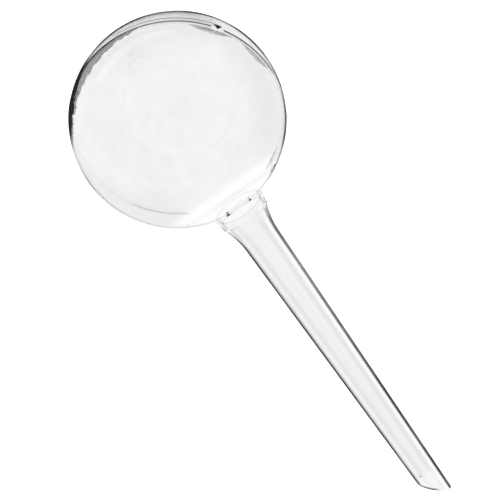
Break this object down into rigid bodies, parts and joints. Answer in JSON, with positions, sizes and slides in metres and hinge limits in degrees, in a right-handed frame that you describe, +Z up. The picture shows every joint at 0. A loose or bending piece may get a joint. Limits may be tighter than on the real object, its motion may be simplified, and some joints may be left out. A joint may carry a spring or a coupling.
{
  "type": "watering globe",
  "caption": "Clear hollow globe on a tapering tube with a slanted open tip: filled with water and stood tip down in soil, it lets the water out slowly to a pot plant.",
  "frame": {"origin": "on the stem's axis, at the level of the lowest point of its slanted tip", "axes": "+Z up along the stem's axis towards the globe, as it stands in soil; XZ is the plane of the globe's seam, with +X to the side where the tip is longest; -Y towards the viewer of the picture"},
  "size_m": [0.0602, 0.06, 0.1656],
  "materials": {
    "clear_plastic": "clear, high gloss, no tint",
    "clear_weld": "clear solvent weld, slightly uneven gloss",
    "clear_rubber": "clear soft rubber, satin"
  },
  "bodies": {
    "stem": {"stem_tube": "clear_plastic"},
    "neck_seal": {"neck_gasket": "clear_rubber"},
    "globe": {"globe_front_shell": "clear_plastic", "globe_rear_shell": "clear_plastic", "seam_bead": "clear_weld", "seal_plug": "clear_plastic"}
  },
  "joints": [
    {"name": "globe_lift", "type": "slide", "parent": "stem", "child": "neck_seal", "axis": [0, 0, 1], "range_m": [0, 0.02]},
    {"name": "globe_turn", "type": "hinge", "parent": "neck_seal", "child": "globe", "pos_m": [0, 0, 0.104], "axis": [0, 0, 1], "continuous": true}
  ]
}
